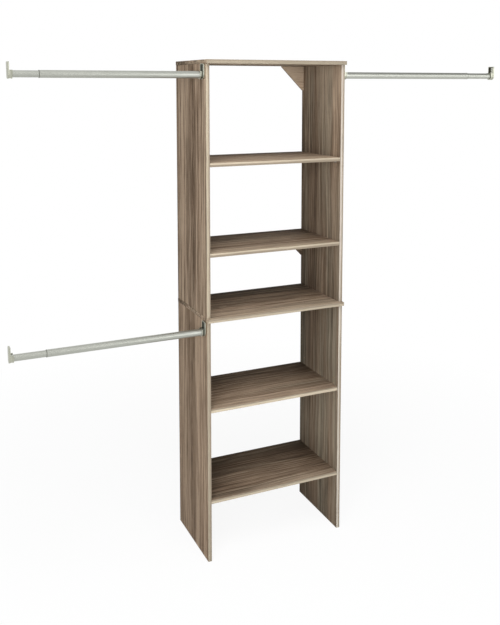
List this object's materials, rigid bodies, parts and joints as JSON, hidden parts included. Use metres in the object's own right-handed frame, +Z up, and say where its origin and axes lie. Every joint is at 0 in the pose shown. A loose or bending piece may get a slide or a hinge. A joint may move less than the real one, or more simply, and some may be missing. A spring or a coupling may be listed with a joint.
{
  "type": "closet storage tower with hang rods",
  "caption": "Open laminate closet tower of stacked units with fixed and adjustable shelves, corner gussets, and telescoping metal hang rods that reach to the walls on both sides.",
  "frame": {"origin": "on the floor, at the middle of the footprint of the tower with its rods as shown", "axes": "+Z up; -Y is the open front and +Y the wall behind; +X to the viewer's right, along the rods"},
  "size_m": [2.236, 0.3706, 2.0945],
  "materials": {
    "laminate": "satin printed wood-grain laminate with a paler edge band",
    "dowel_wood": "raw beech",
    "bracket_metal": "satin nickel plate",
    "rod_metal": "satin nickel plate",
    "screw_metal": "dark zinc",
    "pin_metal": "nickel plate"
  },
  "bodies": {
    "tower": {"lower_left_side_panel": "laminate", "lower_right_side_panel": "laminate", "upper_left_side_panel": "laminate", "upper_right_side_panel": "laminate", "middle_panel": "laminate", "top_panel": "laminate", "lower_fixed_shelf": "laminate", "upper_fixed_shelf": "laminate", "lower_left_top_gusset": "laminate", "lower_right_top_gusset": "laminate", "lower_left_shelf_gusset": "laminate", "lower_right_shelf_gusset": "laminate", "upper_left_top_gusset": "laminate", "upper_right_top_gusset": "laminate", "upper_left_shelf_gusset": "laminate", "upper_right_shelf_gusset": "laminate", "lower_left_front_shelf_pin": "pin_metal", "lower_left_back_shelf_pin": "pin_metal", "lower_right_front_shelf_pin": "pin_metal", "lower_right_back_shelf_pin": "pin_metal", "upper_left_front_shelf_pin": "pin_metal", "upper_left_back_shelf_pin": "pin_metal", "upper_right_front_shelf_pin": "pin_metal", "upper_right_back_shelf_pin": "pin_metal", "lower_left_front_top_dowel": "dowel_wood", "lower_left_back_top_dowel": "dowel_wood", "lower_right_front_top_dowel": "dowel_wood", "lower_right_back_top_dowel": "dowel_wood", "upper_left_front_top_dowel": "dowel_wood", "upper_left_back_top_dowel": "dowel_wood", "upper_right_front_top_dowel": "dowel_wood", "upper_right_back_top_dowel": "dowel_wood", "upper_left_front_foot_dowel": "dowel_wood", "upper_left_back_foot_dowel": "dowel_wood", "upper_right_front_foot_dowel": "dowel_wood", "upper_right_back_foot_dowel": "dowel_wood", "left_upper_rod_tower_bracket": "bracket_metal", "left_upper_rod_outer_tube": "rod_metal", "left_upper_rod_bracket_screw_1": "screw_metal", "left_upper_rod_bracket_screw_2": "screw_metal", "left_upper_rod_bracket_screw_3": "screw_metal", "left_lower_rod_tower_bracket": "bracket_metal", "left_lower_rod_outer_tube": "rod_metal", "left_lower_rod_bracket_screw_1": "screw_metal", "left_lower_rod_bracket_screw_2": "screw_metal", "left_lower_rod_bracket_screw_3": "screw_metal", "right_upper_rod_tower_bracket": "bracket_metal", "right_upper_rod_outer_tube": "rod_metal", "right_upper_rod_bracket_screw_1": "screw_metal", "right_upper_rod_bracket_screw_2": "screw_metal", "right_upper_rod_bracket_screw_3": "screw_metal"},
    "left_upper_rod_slider": {"left_upper_rod_inner_tube": "rod_metal", "left_upper_rod_wall_bracket": "bracket_metal"},
    "left_lower_rod_slider": {"left_lower_rod_inner_tube": "rod_metal", "left_lower_rod_wall_bracket": "bracket_metal"},
    "right_upper_rod_slider": {"right_upper_rod_inner_tube": "rod_metal", "right_upper_rod_wall_bracket": "bracket_metal"},
    "lower_loose_shelf": {"lower_adjustable_shelf": "laminate"},
    "upper_loose_shelf": {"upper_adjustable_shelf": "laminate"}
  },
  "joints": [
    {"name": "left_upper_rod_extend", "type": "slide", "parent": "tower", "child": "left_upper_rod_slider", "axis": [-1, 0, 0], "range_m": [-0.092, 0.428]},
    {"name": "left_lower_rod_extend", "type": "slide", "parent": "tower", "child": "left_lower_rod_slider", "axis": [-1, 0, 0], "range_m": [-0.118, 0.402]},
    {"name": "right_upper_rod_extend", "type": "slide", "parent": "tower", "child": "right_upper_rod_slider", "axis": [1, 0, 0], "range_m": [-0.129, 0.424]},
    {"name": "lower_shelf_pull", "type": "slide", "parent": "tower", "child": "lower_loose_shelf", "axis": [0, -1, 0], "range_m": [0, 0.14]},
    {"name": "upper_shelf_pull", "type": "slide", "parent": "tower", "child": "upper_loose_shelf", "axis": [0, -1, 0], "range_m": [0, 0.14]}
  ]
}
